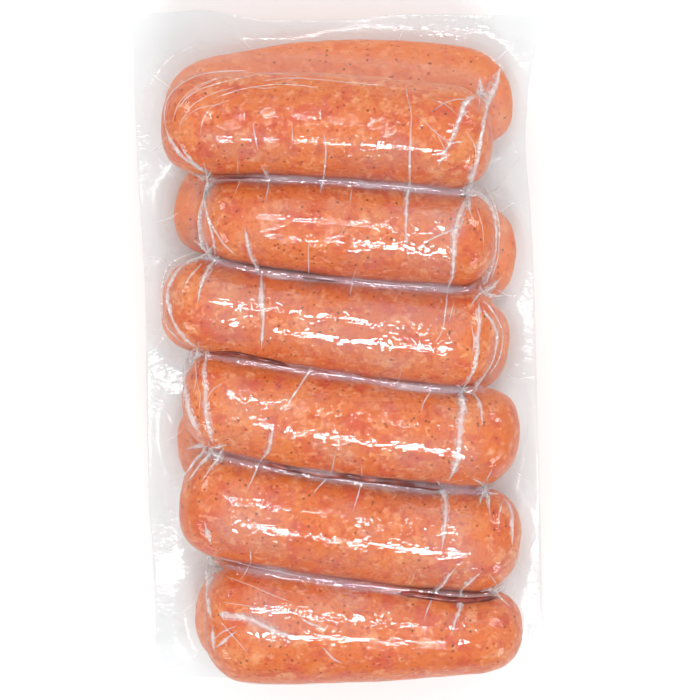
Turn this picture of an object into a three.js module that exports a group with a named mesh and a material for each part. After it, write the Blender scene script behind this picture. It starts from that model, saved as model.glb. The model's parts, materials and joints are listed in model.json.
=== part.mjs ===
// A vacuum-sealed clear bag of raw sausage links, lying on its back. Twelve fat links lie side by side
// in two layers of six, and the film is sucked tight over them. The one solid is the outside of film
// and contents together, with the flat seal margin of the bag round it.
// Millimetres. +Z is up, the links run along X, and +Y points to the end where the lower layer
// reaches out from under the upper one. The origin is under the middle of the bag.
import * as THREE from "three";
import { mergeVertices } from "three/addons/utils/BufferGeometryUtils.js";

// The middle of the bag's outline in the plan that the points below are given in.
const MIDDLE = [2.43, -2.94];

// The layers: how high the axes of their links lie above the floor.
const LOWER_AXIS_HEIGHT = 17.8;
const UPPER_AXIS_HEIGHT = 51.2;

// The links: the points in plan that the two ends reach, how far the middle bows towards +Y, half
// the width near the left end, at the middle and near the right end, half the height, and a cap's
// length as a share of half the width. They are as uneven as hand-twisted links are.
const LOWER_LINKS = [
  link([-64.4, 86.5], [64.4, 90.0], 6.0, [17.6, 19.2, 18.8], 18.9, 1.15),
  link([-60.4, 53.0], [66.0, 31.0], 0.8, [17.7, 18.2, 18.8], 18.7, 0.92),
  link([-66.1, 16.5], [64.1, -2.6], -0.6, [17.8, 18.2, 17.8], 18.6, 0.92),
  link([-61.1, -38.0], [63.0, -40.0], 0.9, [17.4, 17.9, 18.0], 18.7, 0.92),
  link([-51.0, -72.3], [69.4, -77.3], -0.8, [16.9, 17.4, 17.2], 18.5, 0.92),
  link([-55.0, -106.3], [64.0, -108.8], 0.5, [18.6, 17.6, 16.8], 18.6, 0.92),
];
const UPPER_LINKS = [
  link([-62.7, 86.5], [55.4, 79.5], 2.8, [18.4, 18.9, 18.8], 19.4, 0.9),
  link([-48.6, 53.6], [57.0, 44.5], -0.3, [15.5, 17.8, 17.3], 18.6, 0.9),
  link([-62.3, 24.0], [58.0, 8.2], -1.6, [16.8, 17.4, 18.5], 18.9, 0.92),
  link([-56.3, -10.8], [66.1, -28.5], -3.3, [18.6, 19.4, 18.5], 19.2, 0.86),
  link([-58.1, -49.9], [67.1, -68.0], -2.5, [19.8, 19.7, 19.6], 19.2, 0.92),
  link([-49.8, -97.2], [68.4, -101.5], -1.4, [23.2, 20.4, 16.1], 19.4, 0.9),
];
const CAP_POWER = 2.4; // above 2, a cap is blunter than an ellipsoid

// The bag: the film over the skins, and the limp seal margin, a little above the lower links' middle.
const FILM = 0.4;
const MARGIN_HEIGHT = 24;
const MARGIN_THICKNESS = 0.6;
const MARGIN_WAVE = 1.4; // how far it waves up and down
const MARGIN_WAVE_LENGTH = 86;
const SUCTION = 1.0; // the film's curvature where it spans a gap, per millimetre

// The four edges of the bag in plan, each from corner to corner in the order of growing X or Y.
const NEAR_EDGE = [
  [-72.1, -130.7], [-60.6, -129.9], [-50, -129.3], [-20, -130.4], [0, -130.4], [20, -129.2],
  [40, -126.6], [54, -122.2], [66, -116.6], [73, -114.4], [79.1, -113.7],
];
const FAR_EDGE = [
  [-74.2, 120.9], [-71.7, 122.7], [-57.2, 124.1], [-48.1, 124.8], [-39.1, 123.4], [-28.2, 121.4],
  [4.3, 121.2], [15.2, 122.3], [22.4, 123.0], [51.4, 123.0], [74.2, 122.9],
];
const LEFT_EDGE = [
  [-72.1, -130.7], [-70.8, -120.6], [-69.9, -110.6], [-70.5, -78.8], [-71.7, -59.2], [-71.8, -20.4],
  [-71.4, 6.3], [-72.1, 32.7], [-73.2, 55.1], [-73.8, 80.9], [-74.2, 99.2], [-74.2, 120.9],
];
const RIGHT_EDGE = [
  [79.1, -113.7], [77.7, -98.6], [76.8, -70.9], [75.1, -35.8], [73.7, 2.5], [72.0, 36.5], [70.6, 55.1],
  [69.4, 66.2], [68.6, 77.3], [69.0, 86.4], [69.9, 99.2], [71.9, 110.1], [73.2, 117.3], [74.2, 122.9],
];

// The film is first drawn over the links on a fine map of heights, and the mesh is then laid on it.
const MAP_STEP = 1;
const MAP_WIDTH = 176;
const MAP_LENGTH = 280;
const PASSES = 260;

// The mesh: rows run along the links, from crest to valley and on to the next crest.
const MARGIN_ROWS = 3;
const FLANK_ROWS = 4;
const HALF_LINK_ROWS = 6;
const COLUMNS = 34;
const FLANK_FOOT = 1.2; // how far out the foot of an outermost link's flank is, in girth radii
const ROWS_LET_GO = 8; // this far from the left and right edges, rows leave the links for the rim
const SLOPE_SHARE = 0.85; // how strongly steep film draws rows and columns to itself
const MEASURING_STEPS = 240;

const { clamp, lerp, smoothstep } = THREE.MathUtils;

// A link as its sizes give it.
function link(left, right, bow, across, upright, cap) {
  return { left, right, bow, across, upright, cap };
}

// A link ready for use: its middle, its axis in plan, half its straight length and its two caps.
function straighten(link, height) {
  const left = new THREE.Vector2(...link.left);
  const right = new THREE.Vector2(...link.right);
  const axis = right.clone().sub(left);
  const cap = link.cap * link.across[1];
  const straight = axis.length() / 2 - cap;
  const middle = left.add(right).divideScalar(2);
  return { ...link, height, middle, axis: axis.normalize(), cap: cap + FILM, straight };
}

const lowerLinks = LOWER_LINKS.map((link) => straighten(link, LOWER_AXIS_HEIGHT));
const upperLinks = UPPER_LINKS.map((link) => straighten(link, UPPER_AXIS_HEIGHT));

// How far a link's middle lies from its straight axis, at a distance along it.
function bowAt(link, along) {
  return link.bow * (1 - (along / (link.straight + link.cap)) ** 2);
}

// Half a link's width, at a distance along it.
function widthAt(link, along) {
  const t = clamp(along / link.straight, -1, 1);
  const [left, middle, right] = link.across;
  return middle + ((right - left) / 2) * t + ((left + right) / 2 - middle) * t * t;
}

// Half the height of a link, film and all, at a point in plan, or 0 beside the link.
function rise(link, x, y) {
  const dx = x - link.middle.x;
  const dy = y - link.middle.y;
  const along = dx * link.axis.x + dy * link.axis.y;
  const end = Math.max(0, Math.abs(along) - link.straight) / link.cap;
  if (end >= 1) return 0;
  const side = (dy * link.axis.x - dx * link.axis.y - bowAt(link, along)) / (widthAt(link, along) + FILM);
  const girth = (1 - end ** CAP_POWER) ** (1 / CAP_POWER);
  return (link.upright + FILM) * Math.sqrt(Math.max(0, girth * girth - side * side));
}

// A value on the smooth line through the points at which key has a value of at.
function along(points, key, at) {
  const last = points.length - 2;
  let i = 0;
  while (i < last && points[i + 1][key] < at) i += 1;
  const slope = (j) => {
    const a = points[Math.max(0, j - 1)];
    const b = points[Math.min(last + 1, j + 1)];
    return (b[1 - key] - a[1 - key]) / (b[key] - a[key]);
  };
  const width = points[i + 1][key] - points[i][key];
  const t = clamp((at - points[i][key]) / width, 0, 1);
  const ease = t * t * (3 - 2 * t);
  const lean = width * (slope(i) * t * (1 - t) ** 2 - slope(i + 1) * t * t * (1 - t));
  return lerp(points[i][1 - key], points[i + 1][1 - key], ease) + lean;
}

const nearY = (x) => along(NEAR_EDGE, 0, x);
const farY = (x) => along(FAR_EDGE, 0, x);
const leftX = (y) => along(LEFT_EDGE, 1, y);
const rightX = (y) => along(RIGHT_EDGE, 1, y);

// The height of the seal margin's middle.
function marginHeight(x, y) {
  const turn = (2 * Math.PI) / MARGIN_WAVE_LENGTH;
  return MARGIN_HEIGHT + MARGIN_WAVE * Math.sin(x * turn + 0.6) * Math.cos(y * turn);
}

// A sheet of film, as its height at a point in plan. Side is 1 for the upper sheet and -1 for the
// lower one. The sheet lies on links, margin and floor, or spans from one rest to the next, where
// suction bends it inwards.
function drape(side) {
  const columns = MAP_WIDTH / MAP_STEP + 1;
  const rows = MAP_LENGTH / MAP_STEP + 1;
  const rest = new Float64Array(columns * rows);
  const free = new Uint8Array(columns * rows);
  for (let row = 0; row < rows; row++) {
    for (let column = 0; column < columns; column++) {
      const x = column * MAP_STEP - MAP_WIDTH / 2;
      const y = row * MAP_STEP - MAP_LENGTH / 2;
      const i = row * columns + column;
      let reach = side * marginHeight(x, y) + MARGIN_THICKNESS / 2;
      free[i] = x > leftX(y) && x < rightX(y) && y > nearY(x) && y < farY(x);
      for (const link of free[i] ? [...lowerLinks, ...upperLinks] : []) {
        const half = rise(link, x, y);
        if (half > 0) reach = Math.max(reach, side * link.height + half);
      }
      rest[i] = side > 0 ? reach : Math.min(0, reach);
    }
  }
  const height = rest.slice();
  const sink = (SUCTION * MAP_STEP * MAP_STEP) / 4;
  for (let pass = 0; pass < PASSES; pass++) {
    for (let i = columns; i < height.length - columns; i++) {
      const mean = (height[i - 1] + height[i + 1] + height[i - columns] + height[i + columns]) / 4;
      if (free[i]) height[i] = clamp(mean - sink, rest[i], side > 0 ? Infinity : 0);
    }
  }
  return (x, y) => {
    const across = clamp((x + MAP_WIDTH / 2) / MAP_STEP, 0, columns - 1.001);
    const up = clamp((y + MAP_LENGTH / 2) / MAP_STEP, 0, rows - 1.001);
    const i = Math.floor(up) * columns + Math.floor(across);
    const below = lerp(height[i], height[i + 1], across % 1);
    const above = lerp(height[i + columns], height[i + columns + 1], across % 1);
    return side * lerp(below, above, up % 1);
  };
}

// The lines in plan that the rows of a sheet are led by, as Y over X: the near edge, the foot of the
// first flank, crests and valleys in turn, the foot of the last flank, and the far edge.
function guides(sheetLinks) {
  const links = [...sheetLinks].reverse();
  const crest = (link, x) => {
    const run = clamp((x - link.middle.x) / link.axis.x, -link.straight, link.straight);
    return link.middle.y + run * link.axis.y + bowAt(link, run);
  };
  const foot = FLANK_FOOT * links[0].across[1];
  const lastFoot = FLANK_FOOT * links.at(-1).across[1];
  const lines = [nearY, (x) => Math.max(nearY(x) + 2, crest(links[0], x) - foot)];
  links.forEach((link, i) => {
    const next = links[i + 1];
    const share = next && link.across[1] / (link.across[1] + next.across[1]);
    lines.push((x) => crest(link, x));
    if (next) lines.push((x) => lerp(crest(link, x), crest(next, x), share));
  });
  lines.push((x) => Math.min(farY(x) - 2, crest(links.at(-1), x) + lastFoot), farY);
  return lines;
}

// Shares from 0 to 1 that cut a line into parts of even length, as measured along a sheet of film.
function evenShares(line, sheet, parts) {
  const length = [0];
  let from = line(0);
  for (let i = 1; i <= MEASURING_STEPS; i++) {
    const to = line(i / MEASURING_STEPS);
    const climb = SLOPE_SHARE * (sheet(to.x, to.y) - sheet(from.x, from.y));
    length.push(length[i - 1] + Math.hypot(from.distanceTo(to), climb));
    from = to;
  }
  const shares = [0];
  let i = 0;
  for (let part = 1; part < parts; part++) {
    const wanted = (length[MEASURING_STEPS] * part) / parts;
    while (length[i + 1] < wanted) i += 1;
    shares.push((i + (wanted - length[i]) / (length[i + 1] - length[i])) / MEASURING_STEPS);
  }
  return [...shares, 1];
}

// The points in plan of a sheet's grid, row by row.
function layGrid(sheetLinks, sheet) {
  const lines = guides(sheetLinks);
  const halves = Array(2 * sheetLinks.length - 2).fill(HALF_LINK_ROWS);
  const counts = [MARGIN_ROWS, FLANK_ROWS, ...halves, FLANK_ROWS, MARGIN_ROWS];
  const rows = [];
  counts.forEach((count, i) => {
    const line = (share) => new THREE.Vector2(0, lerp(lines[i](0), lines[i + 1](0), share));
    for (const share of evenShares(line, sheet, count).slice(i > 0 ? 1 : 0)) rows.push({ guide: i, share });
  });
  const place = (row, u) => {
    const { guide, share } = rows[row];
    const v = row / (rows.length - 1);
    const rimLeft = lerp(LEFT_EDGE[0][1], LEFT_EDGE.at(-1)[1], v);
    const rimRight = lerp(RIGHT_EDGE[0][1], RIGHT_EDGE.at(-1)[1], v);
    const x = lerp(leftX(rimLeft), rightX(rimRight), u);
    const led = lerp(lines[guide](x), lines[guide + 1](x), share);
    const even = lerp(nearY(x), farY(x), v);
    const onRim = u === 0 || u === 1;
    const rim = u < 0.5 ? rimLeft : rimRight;
    const inwards = Math.min(x - leftX(rimLeft), rightX(rimRight) - x);
    return new THREE.Vector2(x, onRim ? rim : lerp(even, led, smoothstep(inwards, 0, ROWS_LET_GO)));
  };
  let shares = rows.map((_, row) => evenShares((u) => place(row, u), sheet, COLUMNS));
  for (let pass = 0; pass < 4; pass++) {
    shares = shares.map((own, row) => {
      const [before, after] = [shares[row - 1], shares[row + 1]];
      return before && after ? own.map((share, j) => (before[j] + 2 * share + after[j]) / 4) : own;
    });
  }
  return shares.map((own, row) => own.map((u) => place(row, u)));
}

// The bag: two sheets of film, each laid on its own map, with the cut edge between them.
function sealedBag() {
  const sheets = { upper: drape(1), lower: drape(-1) };
  const grids = { upper: layGrid(upperLinks, sheets.upper), lower: layGrid(lowerLinks, sheets.lower) };
  const rows = grids.upper.length - 1;
  const box = new THREE.BoxGeometry(1, 1, 1, COLUMNS, rows, 1);
  box.deleteAttribute("normal");
  box.deleteAttribute("uv");
  const geometry = mergeVertices(box, 1e-6);
  const position = geometry.attributes.position;
  for (let i = 0; i < position.count; i++) {
    const column = Math.round((position.getX(i) + 0.5) * COLUMNS);
    const row = Math.round((position.getY(i) + 0.5) * rows);
    const above = position.getZ(i) > 0;
    const onRim = column % COLUMNS === 0 || row % rows === 0;
    const plan = (above || onRim ? grids.upper : grids.lower)[row][column];
    const rim = marginHeight(plan.x, plan.y) + ((above ? 1 : -1) * MARGIN_THICKNESS) / 2;
    const film = (above ? sheets.upper : sheets.lower)(plan.x, plan.y);
    position.setXYZ(i, plan.x, plan.y, onRim ? rim : film);
  }
  geometry.computeVertexNormals();
  return geometry;
}

const group = new THREE.Group();
const bag = new THREE.Mesh(
  sealedBag(),
  new THREE.MeshStandardMaterial({ color: 0xe8926c, roughness: 0.25, metalness: 0 }),
);
bag.name = "sealed_bag";
bag.position.set(-MIDDLE[0], -MIDDLE[1], 0);
group.add(bag);

export default group;
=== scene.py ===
import json
import math
import bpy
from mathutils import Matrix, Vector, noise

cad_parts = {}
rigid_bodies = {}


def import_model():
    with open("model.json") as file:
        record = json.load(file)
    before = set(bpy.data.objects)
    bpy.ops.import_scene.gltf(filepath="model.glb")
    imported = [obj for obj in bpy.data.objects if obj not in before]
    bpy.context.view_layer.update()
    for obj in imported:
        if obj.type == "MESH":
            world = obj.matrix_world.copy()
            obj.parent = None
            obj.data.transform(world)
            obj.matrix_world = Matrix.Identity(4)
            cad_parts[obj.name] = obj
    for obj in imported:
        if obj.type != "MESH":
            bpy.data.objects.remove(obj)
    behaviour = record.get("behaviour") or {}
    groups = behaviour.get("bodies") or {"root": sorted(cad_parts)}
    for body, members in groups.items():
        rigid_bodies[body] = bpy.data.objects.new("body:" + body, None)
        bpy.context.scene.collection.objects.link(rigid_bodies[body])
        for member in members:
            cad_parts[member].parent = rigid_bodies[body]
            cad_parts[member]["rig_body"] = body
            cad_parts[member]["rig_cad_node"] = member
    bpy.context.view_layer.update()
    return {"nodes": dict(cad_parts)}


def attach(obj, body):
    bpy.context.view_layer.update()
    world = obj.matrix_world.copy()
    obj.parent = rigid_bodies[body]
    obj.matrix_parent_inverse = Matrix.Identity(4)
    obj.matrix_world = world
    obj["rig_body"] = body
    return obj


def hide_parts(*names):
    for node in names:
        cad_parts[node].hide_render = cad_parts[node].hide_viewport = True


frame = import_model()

# Camera, table and light
# The pack lies on a white table. The camera looks down on it from 900 mm away, 12 degrees off the
# upright. Two small softboxes and a broad panel hang over the pack, and four more softboxes stand
# low round it, to show in the film's gloss alone.
AIM = Vector((0.00201, 0.00294, 0.030))
LEAN = math.radians(12)
DISTANCE = 0.9
HALF_VIEW = 0.1295
SENSOR = 36
TABLE_SIZE = 6
TABLE_DROP = 0.0004
CORNER_REACH = 1.1
CORNER_HEIGHT = 0.46

camera_data = bpy.data.cameras.new("camera")
camera_data.sensor_width = SENSOR
camera_data.lens = SENSOR / 2 * DISTANCE / HALF_VIEW
camera = bpy.data.objects.new("camera", camera_data)
bpy.context.scene.collection.objects.link(camera)
camera.location = AIM + DISTANCE * Vector((0, math.sin(LEAN), math.cos(LEAN)))
camera.rotation_euler = (-LEAN, 0, 0)
bpy.context.scene.camera = camera
bpy.context.scene.view_settings.view_transform = "Standard"

bpy.ops.object.select_all(action="DESELECT")
bpy.ops.mesh.primitive_plane_add(size=TABLE_SIZE, location=(0, 0, -TABLE_DROP))
table_top = bpy.context.object
table_top.name = "table_top"

# The studio is white all round, brightest high up behind the far end of the pack.
world = bpy.data.worlds.new("studio")
bpy.context.scene.world = world
world.use_nodes = True
sky = world.node_tree.nodes["Background"]
sky.inputs["Color"].default_value = (0.975, 0.99, 1.0, 1)
outwards = world.node_tree.nodes.new("ShaderNodeTexCoord")
upwards = world.node_tree.nodes.new("ShaderNodeVectorMath")
upwards.operation = "DOT_PRODUCT"
upwards.inputs[1].default_value = (0, 0.6, 0.8)
fade = world.node_tree.nodes.new("ShaderNodeMapRange")
fade.inputs["From Min"].default_value = -0.5
fade.inputs["From Max"].default_value = 1.0
fade.inputs["To Min"].default_value = 0.50
fade.inputs["To Max"].default_value = 1.12
world.node_tree.links.new(outwards.outputs["Generated"], upwards.inputs[0])
world.node_tree.links.new(upwards.outputs["Value"], fade.inputs["Value"])
world.node_tree.links.new(fade.outputs["Result"], sky.inputs["Strength"])


def add_softbox(name, place, size, power):
    """Hangs a rectangular softbox that faces the pack."""
    lamp = bpy.data.lights.new(name, "AREA")
    lamp.shape = "RECTANGLE"
    lamp.size, lamp.size_y = size
    lamp.energy = power
    holder = bpy.data.objects.new(name, lamp)
    bpy.context.scene.collection.objects.link(holder)
    holder.location = place
    holder.rotation_euler = (Vector(place) - AIM).to_track_quat("Z", "Y").to_euler()
    return holder


add_softbox("near_softbox", (0.02, -0.40, 1.05), (0.19, 0.085), 3.3)
add_softbox("far_softbox", (0.02, 0.54, 1.08), (0.17, 0.065), 1.7)
ceiling_panel = add_softbox("ceiling_panel", (0.02, 0.06, 1.60), (0.36, 0.70), 1.4)
ceiling_panel.visible_glossy = False
for turn in (45, 135, 225, 315):
    across, along = math.cos(math.radians(turn)), math.sin(math.radians(turn))
    corner = (CORNER_REACH * across, CORNER_REACH * along, CORNER_HEIGHT)
    corner_softbox = add_softbox(f"corner_softbox_{turn}", corner, (0.34, 0.24), 2.4)
    corner_softbox.visible_diffuse = False


def add_node(tree, kind, values=None, **settings):
    """Adds a shader node, sets it up, and wires or fills its inputs."""
    node = tree.nodes.new(kind)
    for name, value in settings.items():
        setattr(node, name, value)
    for name, value in (values or {}).items():
        socket = node.inputs[name]
        if isinstance(value, bpy.types.NodeSocket):
            tree.links.new(value, socket)
        else:
            socket.default_value = value
    return node


def new_material(name):
    """Makes a material that holds only its output node."""
    material = bpy.data.materials.new(name)
    material.use_nodes = True
    material.node_tree.nodes.clear()
    return material, material.node_tree


def finish_material(tree, shader):
    """Wires a shader to the material's output."""
    add_node(tree, "ShaderNodeOutputMaterial", {"Surface": shader})


table_white, tree = new_material("white table")
shader = add_node(tree, "ShaderNodeBsdfPrincipled", {"Base Color": (0.9, 0.9, 0.9, 1), "Roughness": 0.6})
finish_material(tree, shader.outputs["BSDF"])
table_top.data.materials.append(table_white)

# Sausage links
# Fat raw links of coarse pork and fat in natural casing, six to a layer. The vacuum has pressed
# the two layers flat against each other, and the lower one flat against the table.
LOWER_AXIS = 17.8
UPPER_AXIS = 51.2
# Each link, in mm: the height of its axis, the tips of its two ends, how far it bows, its half
# widths at the left, middle and right, its half height, and the length of its caps for its width.
LINKS = {
    "lower_link_1": (LOWER_AXIS, (-64.4, 86.5), (64.4, 90.0), 6.0, (17.6, 19.2, 18.8), 18.9, 1.15),
    "lower_link_2": (LOWER_AXIS, (-60.4, 53.0), (66.0, 31.0), 0.8, (17.7, 18.2, 18.8), 18.7, 0.92),
    "lower_link_3": (LOWER_AXIS, (-66.1, 16.5), (64.1, -2.6), -0.6, (17.8, 18.2, 17.8), 18.6, 0.92),
    "lower_link_4": (LOWER_AXIS, (-61.1, -38.0), (63.0, -40.0), 0.9, (17.4, 17.9, 18.0), 18.7, 0.92),
    "lower_link_5": (LOWER_AXIS, (-51.0, -72.3), (69.4, -77.3), -0.8, (16.9, 17.4, 17.2), 18.5, 0.92),
    "lower_link_6": (LOWER_AXIS, (-55.0, -106.3), (64.0, -108.8), 0.5, (18.6, 17.6, 16.8), 18.6, 0.92),
    "upper_link_1": (UPPER_AXIS, (-62.7, 86.5), (55.4, 79.5), 2.8, (18.4, 18.9, 18.8), 19.4, 0.9),
    "upper_link_2": (UPPER_AXIS, (-48.6, 53.6), (57.0, 44.5), -0.3, (15.5, 17.8, 17.3), 18.6, 0.9),
    "upper_link_3": (UPPER_AXIS, (-62.3, 24.0), (58.0, 8.2), -1.6, (16.8, 17.4, 18.5), 18.9, 0.92),
    "upper_link_4": (UPPER_AXIS, (-56.3, -10.8), (66.1, -28.5), -3.3, (18.6, 19.4, 18.5), 19.2, 0.86),
    "upper_link_5": (UPPER_AXIS, (-58.1, -49.9), (67.1, -68.0), -2.5, (19.8, 19.7, 19.6), 19.2, 0.92),
    "upper_link_6": (UPPER_AXIS, (-49.8, -97.2), (68.4, -101.5), -1.4, (23.2, 20.4, 16.1), 19.4, 0.9),
}
# The middle of the pack, in the same measure.
MIDDLE = (2.43, -2.94)
# Each link keeps this share of its half height where it is pressed against the other layer.
PRESSED = 0.87
# The lower links lie on the film, this far off the table.
CLEARANCE = 0.2
# How blunt the caps are: 2 is a ball.
CAP_POWER = 2.4
# A link is drawn out in steps about this long.
RING_STEP = 0.004


def select_where(piece, wanted):
    """Selects the vertices of the piece in edit mode whose place is wanted."""
    bpy.ops.mesh.select_mode(type="VERT")
    bpy.ops.mesh.select_all(action="DESELECT")
    bpy.ops.object.mode_set(mode="OBJECT")
    for vertex in piece.data.vertices:
        vertex.select = wanted(vertex.co)
    bpy.ops.object.mode_set(mode="EDIT")


def only(piece):
    """Makes the piece the one that operators act on."""
    bpy.ops.object.select_all(action="DESELECT")
    piece.select_set(True)
    bpy.context.view_layer.objects.active = piece


def apply_modifier(piece, kind, **settings):
    """Adds a modifier to the piece and applies it."""
    modifier = piece.modifiers.new(kind, kind)
    for name, value in settings.items():
        setattr(modifier, name, value)
    bpy.ops.object.modifier_apply(modifier=modifier.name)


# The pattern link: a ball of one metre with its poles on X and its two caps a little blunt.
RINGS = 16
RING_REACHES = [math.cos(ring * math.pi / RINGS) for ring in range(1, RINGS // 2)]
bpy.ops.object.select_all(action="DESELECT")
bpy.ops.mesh.primitive_uv_sphere_add(segments=32, ring_count=RINGS, radius=1)
pattern_link = bpy.context.object
bpy.ops.object.mode_set(mode="EDIT")
bpy.ops.mesh.select_all(action="SELECT")
bpy.ops.transform.rotate(value=math.pi / 2, orient_axis="Y", center_override=(0, 0, 0))
for reach in RING_REACHES:
    blunt = (1 - reach**CAP_POWER) ** (1 / CAP_POWER) / math.sqrt(1 - reach**2)
    select_where(pattern_link, lambda co: abs(abs(co.x) - reach) < 1e-3)
    bpy.ops.transform.resize(value=(1, blunt, blunt), center_override=(0, 0, 0))
bpy.ops.object.mode_set(mode="OBJECT")


def make_link(name, height, left, right, bow, widths, upright, cap_share):
    """Copies the pattern link, draws it out ring by ring, presses it flat and lays it in place."""
    left, right = Vector(left) / 1000, Vector(right) / 1000
    upright, bow = upright / 1000, bow / 1000
    thin, across, thick = [width / 1000 for width in widths]
    half = (right - left).length / 2
    cap = cap_share * across
    straight = half - cap
    only(pattern_link)
    bpy.ops.object.duplicate()
    link = bpy.context.object
    link.name = name
    link.data.name = name
    bpy.ops.object.mode_set(mode="EDIT")
    bpy.ops.mesh.select_all(action="SELECT")
    bpy.ops.transform.resize(value=(cap, across, upright), center_override=(0, 0, 0))
    for side in (-1, 1):
        select_where(link, lambda co: side * co.x > cap * 0.01)
        bpy.ops.transform.translate(value=(side * straight, 0, 0))
    cuts = round(straight / RING_STEP)
    places = [straight * (2 * cut / cuts - 1) for cut in range(cuts + 1) if 2 * cut != cuts]
    for place in places:
        bpy.ops.mesh.select_all(action="SELECT")
        bpy.ops.mesh.bisect(plane_co=(place, 0, 0), plane_no=(1, 0, 0))
    for side in (-1, 1):
        places += [side * (straight + cap * reach) for reach in RING_REACHES]
    for place in [*places, 0]:
        share = max(-1, min(1, place / straight))
        width = across + (thick - thin) / 2 * share + ((thin + thick) / 2 - across) * share**2
        select_where(link, lambda co: abs(co.x - place) < 1e-5)
        bpy.ops.transform.resize(value=(1, width / across, 1), center_override=(0, 0, 0))
        bpy.ops.transform.translate(value=(0, bow * (1 - (place / half) ** 2), 0))
    inner = -1 if height == UPPER_AXIS else 1
    select_where(link, lambda co: co.z * inner > 0)
    bpy.ops.transform.resize(value=(1, 1, PRESSED), center_override=(0, 0, 0))
    if height == LOWER_AXIS:
        floor_depth = (CLEARANCE - LOWER_AXIS) / 1000
        select_where(link, lambda co: co.z < floor_depth)
        bpy.ops.transform.resize(value=(1, 1, 0), center_override=(0, 0, floor_depth))
    bpy.ops.mesh.select_all(action="SELECT")
    turn = math.atan2(right.y - left.y, right.x - left.x)
    bpy.ops.transform.rotate(value=-turn, orient_axis="Z", center_override=(0, 0, 0))
    middle = (left + right) / 2
    bpy.ops.transform.translate(
        value=(middle.x - MIDDLE[0] / 1000, middle.y - MIDDLE[1] / 1000, height / 1000)
    )
    bpy.ops.object.mode_set(mode="OBJECT")
    apply_modifier(link, "SUBSURF", levels=2, render_levels=2)
    bpy.ops.object.shade_smooth()
    return link


lumps = bpy.data.textures.new("lumps of meat", "CLOUDS")
lumps.noise_scale = 0.022
lumps.noise_depth = 2
grain = bpy.data.textures.new("grain of mince", "CLOUDS")
grain.noise_scale = 0.005
grain.noise_depth = 1

links = [make_link(name, *sizes) for name, sizes in LINKS.items()]
only(pattern_link)
bpy.ops.object.delete()
for link in links:
    only(link)
    apply_modifier(link, "DISPLACE", texture=lumps, texture_coords="LOCAL", strength=0.0014, mid_level=0.62)
    apply_modifier(link, "DISPLACE", texture=grain, texture_coords="LOCAL", strength=0.0005, mid_level=0.6)

meat, tree = new_material("raw sausage")
place = add_node(tree, "ShaderNodeTexCoord").outputs["Object"]


def patches(scale, low, high, detail=2.0, distortion=0.3, offset=0.0):
    """A mask of soft-edged patches, so many to the metre, for the material in hand."""
    shifted = add_node(tree, "ShaderNodeVectorMath", {0: place, 1: (offset, offset, offset)}, operation="ADD")
    cloud = add_node(
        tree,
        "ShaderNodeTexNoise",
        {
            "Vector": shifted.outputs["Vector"],
            "Scale": scale,
            "Detail": detail,
            "Roughness": 0.55,
            "Distortion": distortion,
        },
    )
    ramp = add_node(
        tree,
        "ShaderNodeMapRange",
        {"Value": cloud.outputs["Fac"], "From Min": low, "From Max": high},
        interpolation_type="SMOOTHSTEP",
    )
    return ramp.outputs["Result"]


def tint(under, mask, colour, strength=1.0):
    """Lays a colour over another where the mask is white."""
    amount = add_node(tree, "ShaderNodeMath", {0: mask, 1: strength}, operation="MULTIPLY").outputs[0]
    mix = add_node(tree, "ShaderNodeMix", {"Factor": amount}, data_type="RGBA")
    if isinstance(under, bpy.types.NodeSocket):
        tree.links.new(under, mix.inputs[6])
    else:
        mix.inputs[6].default_value = under
    mix.inputs[7].default_value = colour
    return mix.outputs[2]


# Orange-pink mince: broad warm and rosy regions, soft lumps of red lean and crumbs of pale fat, a
# fine ruddy grain, brown and rusty flecks of spice, and black cracked pepper.
colour = tint((0.73, 0.162, 0.038, 1), patches(38, 0.40, 0.62), (0.77, 0.208, 0.066, 1))
colour = tint(colour, patches(90, 0.46, 0.68, offset=0.3), (0.78, 0.222, 0.054, 1), 0.50)
colour = tint(colour, patches(62, 0.56, 0.74, offset=7.1), (0.83, 0.325, 0.125, 1), 0.50)
colour = tint(colour, patches(115, 0.51, 0.68, offset=1.7), (0.66, 0.086, 0.050, 1), 0.60)
colour = tint(colour, patches(160, 0.55, 0.71, offset=2.9), (0.87, 0.40, 0.20, 1), 0.56)
colour = tint(colour, patches(250, 0.53, 0.67, offset=3.7), (0.58, 0.070, 0.036, 1), 0.48)
colour = tint(colour, patches(310, 0.57, 0.70, offset=5.9), (0.90, 0.44, 0.23, 1), 0.48)
colour = tint(colour, patches(760, 0.49, 0.65, detail=1, offset=4.1), (0.54, 0.075, 0.028, 1), 0.32)
# The links of the lower layer are painted a little paler: a painted lift of light, standing in for the light
# that the upper layer and the film keep from them.
layer = add_node(tree, "ShaderNodeSeparateXYZ", {"Vector": place}).outputs["Z"]
lower = add_node(tree, "ShaderNodeMapRange", {"Value": layer, "From Min": 0.037, "From Max": 0.034})
colour = tint(colour, lower.outputs["Result"], (1.0, 0.29, 0.10, 1), 0.38)


def flecks(scale, size, share, offset):
    """A mask of small round flecks: cells of the scale, the share of them that hold one."""
    shifted = add_node(tree, "ShaderNodeVectorMath", {0: place, 1: (offset, offset, offset)}, operation="ADD")
    cells = add_node(
        tree, "ShaderNodeTexVoronoi", {"Vector": shifted.outputs["Vector"], "Scale": scale, "Randomness": 1}
    )
    dot = add_node(
        tree,
        "ShaderNodeMapRange",
        {"Value": cells.outputs["Distance"], "From Min": size, "From Max": size * 0.55},
    ).outputs["Result"]
    draw = add_node(tree, "ShaderNodeSeparateColor", {"Color": cells.outputs["Color"]}).outputs["Red"]
    draw = add_node(tree, "ShaderNodeMath", {0: draw, 1: 1 - share}, operation="GREATER_THAN").outputs[0]
    return add_node(tree, "ShaderNodeMath", {0: dot, 1: draw}, operation="MULTIPLY").outputs[0]


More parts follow.
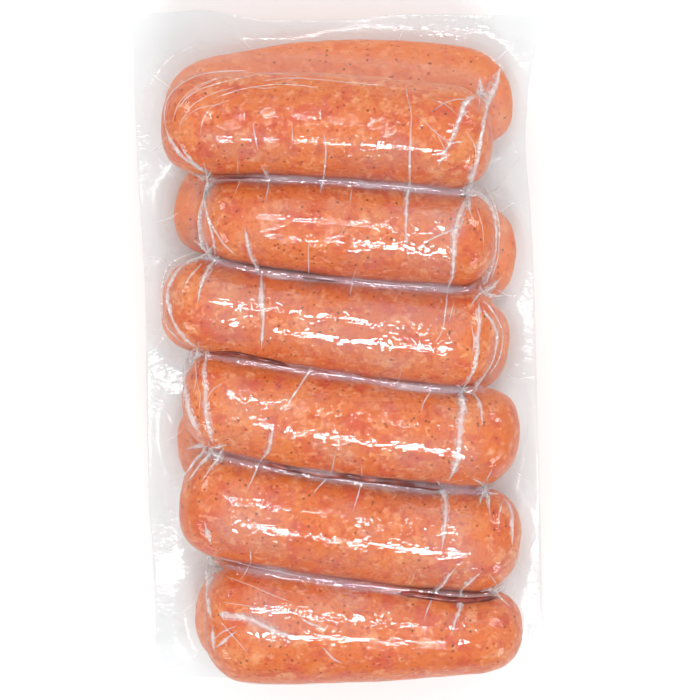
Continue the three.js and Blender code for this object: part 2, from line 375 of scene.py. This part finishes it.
colour = tint(colour, flecks(460, 0.30, 0.20, 0.9), (0.45, 0.045, 0.015, 1), 0.75)
colour = tint(colour, flecks(480, 0.26, 0.17, 0.0), (0.10, 0.03, 0.015, 1), 0.9)
relief = add_node(
    tree, "ShaderNodeTexNoise", {"Vector": place, "Scale": 420, "Detail": 3, "Roughness": 0.6}
).outputs["Fac"]
bump = add_node(tree, "ShaderNodeBump", {"Height": relief, "Distance": 0.0004, "Strength": 0.5})
shader = add_node(
    tree,
    "ShaderNodeBsdfPrincipled",
    {
        "Base Color": colour,
        "Roughness": 0.5,
        "Specular IOR Level": 0.2,
        "Subsurface Weight": 0.25,
        "Subsurface Radius": (0.004, 0.0015, 0.0008),
        "Subsurface Scale": 1.0,
        "Normal": bump.outputs["Normal"],
    },
)
finish_material(tree, shader.outputs["BSDF"])
for link in links:
    link.data.materials.clear()
    link.data.materials.append(meat)
    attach(link, "root")

# Film
# Clear vacuum film, drawn tight over both layers and sealed to itself in a limp margin all round.
# It is a copy of the bag's solid, made finer, pushed clear of the links and rippled.
MARGIN_HEIGHT = 0.022
FLANK_HEIGHT = 0.027
CROWN_HEIGHT = 0.055
only(frame["nodes"]["sealed_bag"])
bpy.ops.object.duplicate()
film = bpy.context.object
film.name = "film"
film.data.name = "film"
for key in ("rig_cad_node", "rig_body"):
    del film[key]
film.parent = None
bpy.ops.object.mode_set(mode="EDIT")
bpy.ops.mesh.select_all(action="SELECT")
bpy.ops.mesh.remove_doubles(threshold=1e-6)
bpy.ops.mesh.tris_convert_to_quads(face_threshold=math.pi, shape_threshold=math.pi)
bpy.ops.object.mode_set(mode="OBJECT")
apply_modifier(film, "SUBSURF", levels=2, render_levels=2)
high_up = [vertex.index for vertex in film.data.vertices if vertex.co.z > FLANK_HEIGHT]
film.vertex_groups.new(name="over the links").add(high_up, 1, "REPLACE")
apply_modifier(film, "SMOOTH", factor=0.5, iterations=6, vertex_group="over the links")

bpy.ops.object.select_all(action="DESELECT")
for link in links:
    link.select_set(True)
bpy.context.view_layer.objects.active = links[0]
bpy.ops.object.duplicate()
contents = bpy.context.object
bpy.ops.object.join()
only(film)
apply_modifier(
    film,
    "SHRINKWRAP",
    target=contents,
    wrap_method="NEAREST_SURFACEPOINT",
    wrap_mode="OUTSIDE",
    offset=0.00015,
)
ripples = bpy.data.textures.new("ripples of film", "CLOUDS")
ripples.noise_scale = 0.009
ripples.noise_depth = 2
apply_modifier(
    film,
    "DISPLACE",
    texture=ripples,
    texture_coords="LOCAL",
    strength=0.00025,
    mid_level=0.25,
    vertex_group="over the links",
)
bpy.ops.object.shade_smooth()

# How far the film stands off the meat, so that it turns milky where it bridges a valley or a flank.
VALLEY_GAP = (0.0005, 0.0022)
FLANK_GAP = (0.0030, 0.0120)
FLANK_SHARE = 0.30
bridging = film.data.attributes.new("bridging", "FLOAT", "POINT")
for vertex in film.data.vertices:
    milky = 0.0
    if vertex.co.z > FLANK_HEIGHT:
        on_crown = vertex.co.z > CROWN_HEIGHT
        near = contents.closest_point_on_mesh(vertex.co)[1]
        least, most = VALLEY_GAP if on_crown else FLANK_GAP
        milky = max(0.0, min(1.0, ((near - vertex.co).length - least) / (most - least)))
        milky *= 1.0 if on_crown else FLANK_SHARE
    bridging.data[vertex.index].value = milky
bpy.data.objects.remove(contents)

# The crinkles of tight film, which its creases share: a height for bump, and a mask of milky spots.
crinkles = bpy.data.node_groups.new("crinkled film", "ShaderNodeTree")
crinkles.interface.new_socket("Scale", in_out="INPUT", socket_type="NodeSocketFloat")
crinkles.interface.new_socket("Height", in_out="OUTPUT", socket_type="NodeSocketFloat")
crinkles.interface.new_socket("Milky", in_out="OUTPUT", socket_type="NodeSocketFloat")
group_in = add_node(crinkles, "NodeGroupInput")
place = add_node(crinkles, "ShaderNodeTexCoord").outputs["Object"]
drawn = add_node(crinkles, "ShaderNodeMapping", {"Vector": place, "Scale": (0.55, 1.3, 1.0)}).outputs[0]
wide = add_node(crinkles, "ShaderNodeTexNoise", {"Vector": place, "Scale": 85, "Detail": 1, "Roughness": 0.5})
fine = add_node(
    crinkles,
    "ShaderNodeTexNoise",
    {"Vector": drawn, "Detail": 1, "Roughness": 0.4, "Distortion": 1.0, "Scale": group_in.outputs["Scale"]},
)
areas = add_node(
    crinkles,
    "ShaderNodeMapRange",
    {"Value": wide.outputs["Fac"], "From Min": 0.42, "From Max": 0.58, "To Min": 0.35, "To Max": 1.0},
).outputs["Result"]
creased = add_node(crinkles, "ShaderNodeMath", {0: fine.outputs["Fac"], 1: areas}, operation="MULTIPLY")
creased = creased.outputs[0]
height = add_node(
    crinkles, "ShaderNodeMath", {0: wide.outputs["Fac"], 1: 0.5, 2: creased}, operation="MULTIPLY_ADD"
).outputs[0]
spots = add_node(
    crinkles, "ShaderNodeMapRange", {"Value": creased, "From Min": 0.50, "From Max": 0.66}
).outputs["Result"]
add_node(crinkles, "NodeGroupOutput", {"Height": height, "Milky": spots})

clear_film, tree = new_material("clear film")
crinkle = add_node(tree, "ShaderNodeGroup", node_tree=crinkles)
crinkle.inputs["Scale"].default_value = 430
valley = add_node(tree, "ShaderNodeAttribute", attribute_name="bridging").outputs["Fac"]
polish = add_node(
    tree,
    "ShaderNodeMapRange",
    {"Value": valley, "From Min": 0.0, "From Max": 1.0, "To Min": 0.9, "To Max": 0.25},
).outputs["Result"]
# Low down the film is the margin, where two layers lie on each other, duller and a little grey.
place = add_node(tree, "ShaderNodeTexCoord").outputs["Object"]
level = add_node(tree, "ShaderNodeSeparateXYZ", {"Vector": place}).outputs["Z"]
margin = add_node(
    tree, "ShaderNodeMapRange", {"Value": level, "From Min": FLANK_HEIGHT, "From Max": MARGIN_HEIGHT}
).outputs["Result"]
dullness = add_node(
    tree, "ShaderNodeMapRange", {"Value": margin, "To Min": 0.045, "To Max": 0.24}
).outputs["Result"]
clearness = add_node(
    tree, "ShaderNodeMapRange", {"Value": margin, "To Min": 1.0, "To Max": 0.35}
).outputs["Result"]
polish = add_node(tree, "ShaderNodeMath", {0: polish, 1: clearness}, operation="MULTIPLY").outputs[0]
height = add_node(
    tree, "ShaderNodeMath", {0: crinkle.outputs["Height"], 1: clearness}, operation="MULTIPLY"
).outputs[0]
bump = add_node(tree, "ShaderNodeBump", {"Height": height, "Distance": 0.00033, "Strength": 1.0})
gloss = add_node(
    tree,
    "ShaderNodeBsdfPrincipled",
    {
        "Base Color": tint((0.92, 0.91, 0.93, 1), valley, (0.66, 0.56, 0.62, 1)),
        "Metallic": polish,
        "Roughness": dullness,
        "Normal": bump.outputs["Normal"],
    },
)
seen_through = add_node(tree, "ShaderNodeBsdfTransparent", {"Color": (0.94, 0.957, 0.96, 1)})
edge_on = add_node(tree, "ShaderNodeLayerWeight", {"Blend": 0.5, "Normal": bump.outputs["Normal"]})
rim = add_node(
    tree,
    "ShaderNodeMapRange",
    {"Value": edge_on.outputs["Facing"], "From Min": 0.35, "From Max": 1.0, "To Min": 0.028, "To Max": 0.19},
).outputs["Result"]
haze = add_node(tree, "ShaderNodeMath", {0: valley, 1: 0.36, 2: rim}, operation="MULTIPLY_ADD").outputs[0]
haze = add_node(
    tree, "ShaderNodeMath", {0: crinkle.outputs["Milky"], 1: 0.05, 2: haze}, operation="MULTIPLY_ADD"
).outputs[0]
haze = add_node(tree, "ShaderNodeMath", {0: margin, 1: 0.055, 2: haze}, operation="MULTIPLY_ADD").outputs[0]
mix = add_node(
    tree,
    "ShaderNodeMixShader",
    {0: haze, 1: seen_through.outputs["BSDF"], 2: gloss.outputs["BSDF"]},
)
finish_material(tree, mix.outputs["Shader"])
film.data.materials.clear()
film.data.materials.append(clear_film)
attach(film, "root")
for piece in [film, *links]:
    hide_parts("sealed_bag")

# Film creases
# Where the bag has more film than the links need, the vacuum pinches it into thin white folds that
# run round the ends of the links and across the valleys. Here they are strands, half sunk in the film.
FOLD_RADIUS = 0.00046
FOLD_DEPTH = 0.00032
# The view's width, the step along a fold, and how far and how quickly it wanders, in its pixels.
VIEW_PIXELS = 700
FOLD_STEP = 2.7
WANDER = 1.1
WANDER_TURNS = 0.095
WANDER_SEED = 5
SMOOTHINGS = 4
# A fold's weight swells its radius by this power, and is never less than the thinnest.
SWELL = 1.6
THINNEST = 0.25
# Each fold: how heavy it starts and ends, and the points that it passes over, in the view's pixels.
FOLDS = [
    ((1.9, 0.5), [(481, 94), (467, 101), (460, 117), (449, 144), (438, 166)]),
    ((1.1, 0.4), [(449, 144), (457, 142), (467, 142)]),
    ((0.4, 0.8), [(416, 114), (430, 127), (449, 144)]),
    ((0.4, 0.9), [(432, 112), (442, 104), (456, 99), (470, 100)]),
    ((1.4, 1.5), [(501, 68), (497, 84), (488, 104), (481, 141), (478, 161), (468, 194)]),
    ((1.8, 0.7), [(468, 194), (456, 227), (453, 269), (448, 290)]),
    ((0.9, 0.5), [(448, 290), (443, 328), (434, 343)]),
    ((0.5, 1.0), [(414, 250), (435, 237), (454, 229)]),
    ((1.3, 1.3), [(478, 190), (487, 198), (495, 214), (496, 249), (488, 283)]),
    ((0.9, 0.8), [(485, 186), (493, 200), (499, 222), (499, 252), (492, 280)]),
    ((0.4, 1.2), [(405, 83), (408, 100), (411, 116), (410, 150), (410, 182)]),
    ((1.3, 0.4), [(410, 182), (407, 199), (406, 230), (408, 259)]),
    ((1.4, 1.2), [(479, 299), (479, 331), (474, 369), (462, 386)]),
    ((1.3, 1.1), [(480, 306), (492, 321), (497, 331), (497, 347), (492, 364), (476, 390)]),
    ((0.8, 0.7), [(482, 298), (496, 316), (503, 336), (500, 358), (490, 375)]),
    ((1.7, 1.1), [(460, 390), (464, 402), (460, 430), (457, 459), (448, 482)]),
    ((1.8, 0.5), [(442, 488), (446, 500), (445, 526), (441, 550)]),
    ((1.3, 0.4), [(474, 391), (481, 405), (483, 425)]),
    ((1.0, 0.4), [(433, 388), (424, 402), (421, 416)]),
    ((0.5, 1.1), [(493, 468), (486, 483)]),
    ((1.3, 0.5), [(486, 483), (489, 502), (491, 521)]),
    ((0.5, 1.3), [(457, 566), (445, 582), (433, 597)]),
    ((1.2, 0.5), [(433, 597), (428, 608), (424, 621)]),
    ((0.5, 1.5), [(482, 571), (470, 582), (461, 592)]),
    ((1.4, 0.5), [(461, 592), (460, 607), (455, 622), (451, 636)]),
    ((1.5, 1.0), [(503, 494), (510, 505), (513, 519), (512, 545)]),
    ((0.5, 1.1), [(489, 573), (494, 580), (499, 589)]),
    ((0.9, 0.6), [(505, 497), (500, 510), (498, 530)]),
    ((0.7, 1.2), [(249, 71), (231, 70), (207, 73), (185, 81), (170, 94), (165, 111), (164, 127)]),
    ((1.2, 1.6), [(164, 127), (170, 140), (180, 155), (195, 165), (211, 177)]),
    ((0.7, 1.5), [(178, 143), (188, 157), (199, 168), (209, 176)]),
    ((0.9, 1.7), [(184, 166), (193, 174), (202, 182)]),
    ((0.4, 0.8), [(262, 73), (240, 78), (215, 84), (195, 92), (180, 105)]),
    ((0.5, 0.4), [(300, 76), (280, 74), (262, 73)]),
    ((0.4, 0.5), [(230, 100), (210, 108), (203, 120), (200, 135)]),
    ((0.4, 0.4), [(245, 84), (262, 88), (280, 86)]),
    ((2.0, 1.3), [(204, 183), (204, 197), (199, 213), (198, 230), (201, 249)]),
    ((1.3, 0.9), [(208, 183), (204, 194), (206, 210), (213, 238), (214, 256)]),
    ((0.8, 1.2), [(206, 212), (213, 228), (222, 243), (234, 255)]),
    ((1.6, 1.3), [(204, 253), (182, 266), (170, 281), (166, 296), (171, 318), (182, 336), (194, 348)]),
    ((1.0, 0.9), [(195, 251), (171, 263), (162, 282), (161, 309), (165, 325), (182, 344)]),
    ((1.2, 0.5), [(202, 262), (191, 275), (184, 287)]),
    ((1.5, 0.5), [(215, 257), (205, 275), (200, 291), (197, 305)]),
    ((1.6, 2.1), [(186, 352), (184, 370), (186, 395), (190, 417), (200, 436)]),
    ((1.3, 1.5), [(204, 353), (205, 391), (207, 420), (212, 445)]),
    ((1.0, 0.6), [(194, 358), (197, 376), (193, 393)]),
    ((0.9, 0.5), [(207, 400), (212, 390), (222, 383)]),
    ((1.8, 0.6), [(203, 448), (193, 462), (182, 478)]),
    ((1.4, 0.6), [(212, 449), (200, 464), (187, 481)]),
    ((1.4, 0.5), [(223, 450), (213, 465), (201, 481)]),
    ((0.6, 1.6), [(204, 522), (207, 534), (211, 547)]),
    ((1.9, 1.6), [(208, 554), (206, 570), (207, 585), (207, 602), (212, 623)]),
    ((1.6, 1.3), [(212, 623), (213, 640), (215, 655)]),
    ((1.9, 1.0), [(213, 613), (228, 616), (247, 618), (273, 630), (298, 639)]),
    ((1.2, 1.1), [(320, 645), (335, 660), (345, 664)]),
    ((1.1, 0.8), [(300, 618), (312, 624), (325, 628)]),
    ((1.3, 0.5), [(213, 650), (222, 643), (232, 634), (238, 630)]),
    ((1.0, 0.5), [(214, 640), (222, 632), (238, 626)]),
    ((0.9, 0.5), [(253, 122), (255, 136), (258, 153)]),
    ((0.6, 1.3), [(261, 166), (265, 174), (269, 181)]),
    ((1.2, 0.4), [(269, 181), (268, 190), (264, 203)]),
    ((0.7, 0.5), [(291, 122), (292, 134), (291, 147)]),
    ((0.5, 1.1), [(323, 130), (326, 149), (325, 165), (323, 178)]),
    ((1.3, 0.5), [(323, 178), (321, 186), (320, 193)]),
    ((0.5, 0.8), [(238, 157), (238, 176)]),
    ((0.8, 0.4), [(240, 180), (234, 195)]),
    ((0.9, 0.4), [(352, 187), (351, 197), (350, 208)]),
    ((0.4, 0.7), [(346, 224), (341, 235), (335, 247)]),
    ((0.5, 1.5), [(245, 226), (249, 252), (258, 272)]),
    ((1.3, 0.6), [(262, 273), (262, 296), (263, 318), (262, 350)]),
    ((0.4, 0.9), [(309, 240), (308, 258), (309, 276)]),
    ((0.4, 0.9), [(357, 266), (352, 280)]),
    ((0.9, 0.4), [(352, 280), (351, 290), (350, 299)]),
    ((1.2, 0.6), [(311, 369), (295, 393), (285, 410)]),
    ((0.7, 1.3), [(273, 424), (269, 448), (260, 463)]),
    ((1.2, 0.4), [(260, 463), (252, 480), (244, 495)]),
    ((0.5, 1.0), [(335, 452), (331, 473)]),
    ((0.9, 0.4), [(331, 473), (320, 485), (312, 497)]),
    ((0.5, 0.9), [(361, 464), (362, 478)]),
    ((0.9, 0.4), [(362, 478), (358, 496), (352, 514)]),
    ((0.5, 1.0), [(250, 547), (251, 564)]),
    ((0.9, 0.4), [(251, 564), (246, 572), (240, 581)]),
    ((0.35, 0.6), [(322, 180), (360, 183), (400, 187), (436, 190)]),
    ((0.3, 0.6), [(350, 279), (395, 284), (440, 288)]),
    ((0.3, 0.6), [(378, 381), (405, 385), (434, 388)]),
    ((0.4, 0.6), [(325, 475), (345, 478), (365, 480)]),
    ((0.6, 0.3), [(215, 557), (250, 566), (300, 576), (345, 583)]),
    ((0.6, 0.4), [(172, 122), (180, 102), (198, 86), (222, 76)]),
    ((0.6, 0.4), [(178, 130), (188, 110), (208, 95), (236, 86)]),
    ((0.5, 0.4), [(214, 98), (244, 88), (282, 84), (320, 88)]),
    ((0.5, 0.4), [(262, 80), (300, 78), (345, 82), (388, 86)]),
    ((0.5, 0.4), [(184, 118), (200, 108), (222, 104)]),
    ((0.5, 0.3), [(176, 112), (190, 94), (214, 80), (240, 74)]),
    ((0.5, 0.4), [(428, 98), (445, 104), (458, 116)]),
    ((0.6, 0.4), [(466, 130), (476, 150), (474, 172)]),
    ((0.5, 0.4), [(436, 132), (444, 148), (452, 158)]),
    ((0.5, 0.4), [(476, 208), (482, 226), (484, 250)]),
    ((0.5, 0.4), [(470, 320), (474, 340), (470, 362)]),
    ((0.5, 0.4), [(196, 378), (200, 396), (198, 416)]),
    ((0.5, 0.4), [(226, 576), (262, 590), (296, 604)]),
    ((0.5, 0.4), [(222, 602), (250, 606), (284, 616)]),
    ((0.5, 0.4), [(218, 620), (236, 640), (250, 656)]),
    ((0.9, 0.3), [(497, 60), (510, 48), (522, 36)]),
    ((0.8, 0.3), [(510, 140), (519, 158), (529, 168)]),
    ((1.0, 0.3), [(502, 212), (515, 203), (528, 206)]),
    ((1.0, 0.3), [(499, 290), (512, 296), (527, 293)]),
    ((0.8, 0.3), [(501, 368), (514, 379), (528, 376)]),
    ((0.9, 0.3), [(514, 468), (523, 478), (533, 484)]),
    ((0.8, 0.3), [(517, 556), (526, 570), (534, 580)]),
    ((0.7, 0.3), [(518, 640), (528, 648), (536, 654)]),
    ((0.9, 0.3), [(172, 90), (160, 80), (146, 70)]),
    ((0.9, 0.3), [(166, 136), (157, 148), (146, 154)]),
    ((0.8, 0.3), [(178, 212), (166, 221), (152, 219)]),
    ((1.0, 0.3), [(168, 264), (157, 257), (146, 260)]),
    ((0.9, 0.3), [(166, 334), (157, 346), (148, 354)]),
    ((0.9, 0.3), [(184, 374), (170, 383), (155, 379)]),
    ((0.8, 0.3), [(182, 430), (169, 440), (156, 447)]),
    ((1.0, 0.3), [(184, 536), (171, 549), (158, 558)]),
    ((0.8, 0.3), [(198, 600), (184, 611), (168, 615)]),
    ((0.8, 0.3), [(204, 648), (190, 660), (172, 668)]),
    ((0.8, 0.3), [(250, 48), (241, 36), (229, 25)]),
    ((0.7, 0.3), [(398, 42), (403, 30), (409, 19)]),
    ((0.4, 0.6), [(405, 592), (412, 580), (416, 570)]),
    ((0.5, 0.8), [(398, 383), (402, 370)]),
    ((0.4, 0.8), [(455, 299), (452, 310), (449, 322)]),
]


def drop_on_film(x, y):
    """Where the film lies under a pixel of the camera's view."""
    across = (2 * x / VIEW_PIXELS - 1) * HALF_VIEW
    up = (1 - 2 * y / VIEW_PIXELS) * HALF_VIEW
    gaze = camera.rotation_euler.to_matrix() @ Vector((across, up, -DISTANCE))
    return film.ray_cast(camera.location, gaze)[1]


def lay_on_film(weights, points, sink):
    """A smooth, slightly crooked line through the points, laid on the film and sunk into it."""
    reach = [0.0]
    for (x, y), (next_x, next_y) in zip(points, points[1:]):
        reach.append(reach[-1] + math.hypot(next_x - x, next_y - y))
    shares = [weights[0] + (weights[1] - weights[0]) * far / reach[-1] for far in reach]
    points = [Vector((x, y, share)) for (x, y), share in zip(points, shares)]
    points = [2 * points[0] - points[1], *points, 2 * points[-1] - points[-2]]
    line = []
    for before, start, end, after in zip(points, points[1:], points[2:], points[3:]):
        steps = max(1, round((end - start).xy.length / FOLD_STEP))
        for step in range(steps):
            t = step / steps
            spot = start + t * (end - before) / 2
            spot += t * t * (before - 2.5 * start + 2 * end - after / 2)
            spot += t**3 * ((after - before) / 2 + 1.5 * (start - end))
            line.append(spot)
    line.append(points[-2])
    spots = []
    for spot in line:
        wander = noise.noise_vector(spot.xy.to_3d() * WANDER_TURNS)
        spots.append(drop_on_film(spot.x + WANDER * wander.x, spot.y + WANDER * wander.y))
    for smoothing in range(SMOOTHINGS):
        inner = [(a + 2 * b + c) / 4 for a, b, c in zip(spots, spots[1:], spots[2:])]
        spots = [spots[0], *inner, spots[-1]]
    laid = []
    for spot, drawn in zip(spots, line):
        where, normal = film.closest_point_on_mesh(spot)[1:3]
        weight = max(THINNEST, drawn.z) ** SWELL * (1 + 0.12 * noise.noise(spot * 300))
        laid.append((where - sink * weight * normal, weight))
    return laid


def draw_strands(name, lines, radius, sink):
    """Makes one mesh of round strands that lie on the film, pinched at both ends."""
    curve = bpy.data.curves.new(name, "CURVE")
    curve.dimensions = "3D"
    curve.bevel_depth = radius
    curve.bevel_resolution = 1
    curve.use_fill_caps = True
    for weights, points in lines:
        laid = lay_on_film(weights, points, sink)
        spline = curve.splines.new("POLY")
        spline.points.add(len(laid) - 1)
        for index, (point, (where, weight)) in enumerate(zip(spline.points, laid)):
            point.co = (*where, 1)
            point.radius = weight * min(1, 0.2 + 0.2 * min(index, len(laid) - 1 - index))
    strands = bpy.data.objects.new(name, curve)
    bpy.context.scene.collection.objects.link(strands)
    only(strands)
    bpy.ops.object.convert(target="MESH")
    bpy.ops.object.shade_smooth()
    return strands


# Where a valley ends, the film gathers to a knot from which short folds spread. Each knot: where it
# is and how far its folds reach, in pixels, and the turn of the first one.
KNOTS = [
    (206, 180, 22, 0.3),
    (205, 252, 22, 0.9),
    (198, 350, 19, 0.2),
    (207, 448, 22, 0.7),
    (208, 556, 11, 0.4),
    (470, 194, 24, 0.5),
    (484, 291, 24, 0.1),
    (464, 389, 22, 0.8),
    (487, 490, 24, 0.3),
    (499, 592, 19, 0.6),
    (482, 93, 19, 0.5),
    (440, 488, 11, 0.2),
]
SPOKES = 5
SPOKE_WEIGHTS = (1.7, 0.4)
gathers = []
for x, y, reach, first in KNOTS:
    for spoke in range(SPOKES):
        turn = first + spoke * 1.26 + 0.5 * math.sin(5 * spoke + x)
        far = reach * (0.65 + 0.35 * math.sin(3 * spoke + y))
        tip = (x + far * math.cos(turn), y + far * math.sin(turn))
        bend = (x + 0.45 * far * math.cos(turn + 0.25), y + 0.45 * far * math.sin(turn + 0.25))
        gathers.append((SPOKE_WEIGHTS, [(x, y), bend, tip]))
noise.seed_set(WANDER_SEED)
film_creases = draw_strands("film_creases", FOLDS + gathers, FOLD_RADIUS, FOLD_DEPTH)
folded_film, tree = new_material("folded film")
crinkle = add_node(tree, "ShaderNodeGroup", node_tree=crinkles)
crinkle.inputs["Scale"].default_value = 500
bump = add_node(
    tree, "ShaderNodeBump", {"Height": crinkle.outputs["Height"], "Distance": 0.0003, "Strength": 0.5}
)
gloss = add_node(
    tree,
    "ShaderNodeBsdfPrincipled",
    {"Base Color": (0.99, 0.97, 0.965, 1), "Roughness": 0.3, "Normal": bump.outputs["Normal"]},
)
seen_through = add_node(tree, "ShaderNodeBsdfTransparent", {"Color": (1.0, 0.99, 0.99, 1)})
thickness = add_node(
    tree,
    "ShaderNodeMapRange",
    {"Value": crinkle.outputs["Milky"], "From Min": 0.0, "From Max": 0.8, "To Min": 0.35, "To Max": 0.85},
)
mix = add_node(
    tree,
    "ShaderNodeMixShader",
    {0: thickness.outputs["Result"], 1: seen_through.outputs["BSDF"], 2: gloss.outputs["BSDF"]},
)
finish_material(tree, mix.outputs["Shader"])
film_creases.data.materials.append(folded_film)
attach(film_creases, "root")

# Puckered film
# On both sides of a heavy fold, and round a knot, the film is puckered too finely to show separate
# folds. It is the same film, standing clear of the meat as a faint milky seam.
PUCKER_RADIUS = 0.0013
PUCKER_DEPTH = 0.00108
HEAVY = 1.3
heavy_folds = [fold for fold in FOLDS if max(fold[0]) >= HEAVY]
film_puckers = draw_strands("film_puckers", heavy_folds + gathers, PUCKER_RADIUS, PUCKER_DEPTH)
puckered_film, tree = new_material("puckered film")
crinkle = add_node(tree, "ShaderNodeGroup", node_tree=crinkles)
crinkle.inputs["Scale"].default_value = 900
bump = add_node(
    tree, "ShaderNodeBump", {"Height": crinkle.outputs["Height"], "Distance": 0.0003, "Strength": 0.8}
)
gloss = add_node(
    tree,
    "ShaderNodeBsdfPrincipled",
    {"Base Color": (0.95, 0.90, 0.89, 1), "Roughness": 0.3, "Normal": bump.outputs["Normal"]},
)
seen_through = add_node(tree, "ShaderNodeBsdfTransparent", {"Color": (1.0, 0.99, 0.99, 1)})
place = add_node(tree, "ShaderNodeTexCoord").outputs["Object"]
cloudy = add_node(
    tree,
    "ShaderNodeMapRange",
    {"Value": patches(420, 0.40, 0.66, offset=9.7), "To Min": 0.10, "To Max": 0.50},
)
mix = add_node(
    tree,
    "ShaderNodeMixShader",
    {0: cloudy.outputs["Result"], 1: seen_through.outputs["BSDF"], 2: gloss.outputs["BSDF"]},
)
finish_material(tree, mix.outputs["Shader"])
film_puckers.data.materials.append(puckered_film)
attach(film_puckers, "root")

# Film across the valleys
# Between the links of the upper layer the film can't reach the bottom of the valley. It spans it as
# a narrow milky ribbon, lilac over the wet meat below, which widens towards the ends of the links.
RIBBON_RADIUS = 0.0014
RIBBON_DEPTH = 0.00100
VALLEYS = [
    ((0.8, 1.4), [(240, 178), (272, 178), (320, 181), (360, 184), (400, 187), (440, 191), (470, 195)]),
    ((0.7, 1.3), [(216, 259), (259, 273), (302, 278), (350, 281), (400, 286), (440, 289), (475, 292)]),
    ((0.6, 1.3), [(285, 366), (311, 369), (354, 378), (400, 386), (432, 389), (465, 390)]),
    ((0.8, 1.9), [(212, 450), (260, 463), (300, 470), (350, 478), (410, 485), (455, 489), (495, 491)]),
    ((1.6, 0.8), [(212, 556), (240, 563), (270, 571), (320, 580), (360, 587), (400, 593)]),
]
valley_film = draw_strands("valley_film", VALLEYS, RIBBON_RADIUS, RIBBON_DEPTH)
milky_film, tree = new_material("milky film")
crinkle = add_node(tree, "ShaderNodeGroup", node_tree=crinkles)
crinkle.inputs["Scale"].default_value = 400
bump = add_node(
    tree, "ShaderNodeBump", {"Height": crinkle.outputs["Height"], "Distance": 0.0003, "Strength": 0.8}
)
place = add_node(tree, "ShaderNodeTexCoord").outputs["Object"]
lilac = tint((0.62, 0.47, 0.53, 1), patches(55, 0.42, 0.62, offset=6.1), (0.74, 0.66, 0.70, 1))
gloss = add_node(
    tree,
    "ShaderNodeBsdfPrincipled",
    {"Base Color": lilac, "Roughness": 0.10, "Normal": bump.outputs["Normal"]},
)
seen_through = add_node(tree, "ShaderNodeBsdfTransparent", {"Color": (0.97, 0.93, 0.95, 1)})
cloudy = add_node(
    tree,
    "ShaderNodeMapRange",
    {"Value": patches(70, 0.40, 0.64, offset=8.3), "To Min": 0.07, "To Max": 0.36},
)
mix = add_node(
    tree,
    "ShaderNodeMixShader",
    {0: cloudy.outputs["Result"], 1: seen_through.outputs["BSDF"], 2: gloss.outputs["BSDF"]},
)
finish_material(tree, mix.outputs["Shader"])
valley_film.data.materials.append(milky_film)
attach(valley_film, "root")

# Meat juice
# Dark red juice that the vacuum has drawn out of the meat and into the valleys. It lies in thin
# strands under the film.
JUICE_RADIUS = 0.0011
JUICE_DEPTH = 0.0003
JUICE = [
    (
        (1.0, 1.2),
        [(262, 463), (275, 466), (300, 471), (330, 476), (350, 477), (370, 480), (390, 482), (410, 485),
         (430, 487), (447, 489)],
    ),
    ((1.2, 0.9), [(398, 593), (410, 594), (430, 597), (460, 600), (480, 599), (499, 597)]),
    ((0.6, 0.8), [(212, 352), (235, 354), (250, 357), (270, 362), (290, 367)]),
    ((0.6, 0.5), [(214, 179), (230, 178), (250, 178), (275, 178)]),
    ((0.7, 0.5), [(300, 277), (318, 280), (340, 282)]),
]
meat_juice = draw_strands("meat_juice", JUICE, JUICE_RADIUS, JUICE_DEPTH)
dark_juice, tree = new_material("meat juice")
place = add_node(tree, "ShaderNodeTexCoord").outputs["Object"]
cloudy = patches(160, 0.40, 0.65)
colour = tint((0.10, 0.012, 0.008, 1), cloudy, (0.26, 0.045, 0.03, 1))
ripple = add_node(tree, "ShaderNodeTexNoise", {"Vector": place, "Scale": 300, "Detail": 2}).outputs["Fac"]
bump = add_node(tree, "ShaderNodeBump", {"Height": ripple, "Distance": 0.0003, "Strength": 0.4})
shader = add_node(
    tree,
    "ShaderNodeBsdfPrincipled",
    {"Base Color": colour, "Roughness": 0.12, "Normal": bump.outputs["Normal"]},
)
finish_material(tree, shader.outputs["BSDF"])
meat_juice.data.materials.append(dark_juice)
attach(meat_juice, "root")
